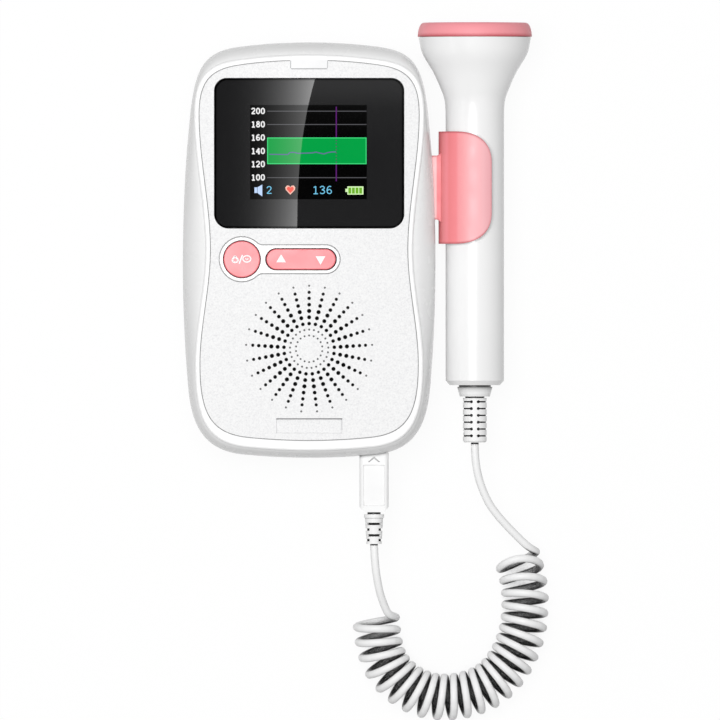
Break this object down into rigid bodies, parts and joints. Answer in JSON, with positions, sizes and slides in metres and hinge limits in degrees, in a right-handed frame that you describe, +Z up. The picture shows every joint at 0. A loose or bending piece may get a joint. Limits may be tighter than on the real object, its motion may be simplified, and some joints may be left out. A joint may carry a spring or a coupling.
{
  "type": "fetal doppler monitor",
  "caption": "Hand-held fetal doppler: a main unit with a display, keys and speaker, and an ultrasound probe clipped to its side on a curly lead.",
  "frame": {"origin": "centre of the main unit's flat back, on the surface it lies on", "axes": "+Z up out of the unit's face, +Y towards the unit's top end and the probe's head, +X towards the probe"},
  "size_m": [0.122, 0.233, 0.0386],
  "materials": {
    "shell_white": "glossy white moulded ABS",
    "panel_satin": "satin white moulded ABS",
    "bezel_white": "glossy bright white",
    "pink_gloss": "smooth salmon pink",
    "lens_black": "polished black acrylic",
    "lcd_dark": "dark glass with a bright metal edge",
    "foam_black": "closed-cell foam",
    "frame_grey": "plain moulded grey",
    "board_green": "solder-resist green",
    "chip_black": "moulded black epoxy",
    "plunger_white": "plain white",
    "screw_steel": "zinc-plated steel",
    "nickel": "bright nickel plate",
    "speaker_steel": "black painted steel",
    "paper_black": "black pressed paper",
    "cell_jacket": "plain printed sleeve",
    "probe_white": "glossy white moulded ABS",
    "collar_white": "smooth white",
    "relief_white": "soft white moulded PVC",
    "cord_white": "smooth white PVC sheath",
    "seal_black": "black silicone",
    "crystal_silver": "silvered ceramic",
    "backing_grey": "filled epoxy"
  },
  "bodies": {
    "unit": {"front_cover": "shell_white", "rear_cover": "shell_white", "front_panel": "panel_satin", "button_bezel": "bezel_white", "probe_clip": "pink_gloss", "display_window": "lens_black", "lcd_module": "lcd_dark", "lcd_gasket": "foam_black", "speaker_gasket": "foam_black", "lcd_holder": "frame_grey", "main_board": "board_green", "jack_board": "board_green", "board_chips": "chip_black", "power_switch": "chip_black", "volume_switches": "chip_black", "case_screws": "screw_steel", "board_screws": "screw_steel", "jack_screws": "screw_steel", "jack": "nickel", "battery_contacts": "nickel", "battery_springs": "nickel", "speaker_basket": "speaker_steel", "speaker_magnet": "speaker_steel", "speaker_cone": "paper_black", "battery_cells": "cell_jacket"},
    "power_key": {"power_button": "pink_gloss"},
    "power_pin": {"power_plunger": "plunger_white"},
    "rocker": {"volume_rocker": "pink_gloss"},
    "up_pin": {"volume_up_plunger": "plunger_white"},
    "down_pin": {"volume_down_plunger": "plunger_white"},
    "door": {"battery_cover": "shell_white"},
    "plug": {"plug_overmould": "relief_white", "plug_shell": "nickel", "plug_strain_relief": "relief_white", "cord_probe_end": "cord_white", "cord_coil": "cord_white", "cord_plug_end": "cord_white"},
    "probe": {"probe_front_shell": "probe_white", "probe_rear_shell": "probe_white", "probe_cap": "pink_gloss", "probe_seal": "seal_black", "transducer_cup": "frame_grey", "piezo_crystals": "crystal_silver", "acoustic_backing": "backing_grey", "probe_board": "board_green", "probe_collar": "collar_white", "probe_strain_relief": "relief_white"}
  },
  "joints": [
    {"name": "power_press", "type": "slide", "parent": "unit", "child": "power_key", "axis": [0, 0, -1], "range_m": [0, 0.0005], "stiffness_N_per_m": 800, "springref_m": -0.001},
    {"name": "power_switch_press", "type": "slide", "parent": "unit", "child": "power_pin", "axis": [0, 0, -1], "range_m": [0, 0.0005]},
    {"name": "volume_rock", "type": "hinge", "parent": "unit", "child": "rocker", "pos_m": [-0.0027, -0.0031, 0.0294], "axis": [0, 1, 0], "range_deg": [-2.5, 2.5], "stiffness_Nm_per_rad": 0.2},
    {"name": "volume_up_press", "type": "slide", "parent": "unit", "child": "up_pin", "axis": [0, 0, -1], "range_m": [-0.00035, 0.00035]},
    {"name": "volume_down_press", "type": "slide", "parent": "unit", "child": "down_pin", "axis": [0, 0, -1], "range_m": [-0.00035, 0.00035]},
    {"name": "battery_cover_slide", "type": "slide", "parent": "unit", "child": "door", "axis": [0, 1, 0], "range_m": [0, 0.07]},
    {"name": "plug_pull", "type": "slide", "parent": "unit", "child": "plug", "axis": [0, -1, 0], "range_m": [0, 0.008]},
    {"name": "probe_slide", "type": "slide", "parent": "plug", "child": "probe", "axis": [0, 1, 0], "range_m": [0, 0.105]}
  ],
  "couplings": [
    {"joint": "power_switch_press", "follows": "power_press", "ratio": 1},
    {"joint": "volume_up_press", "follows": "volume_rock", "m_per_rad": -0.008},
    {"joint": "volume_down_press", "follows": "volume_rock", "m_per_rad": 0.008}
  ]
}
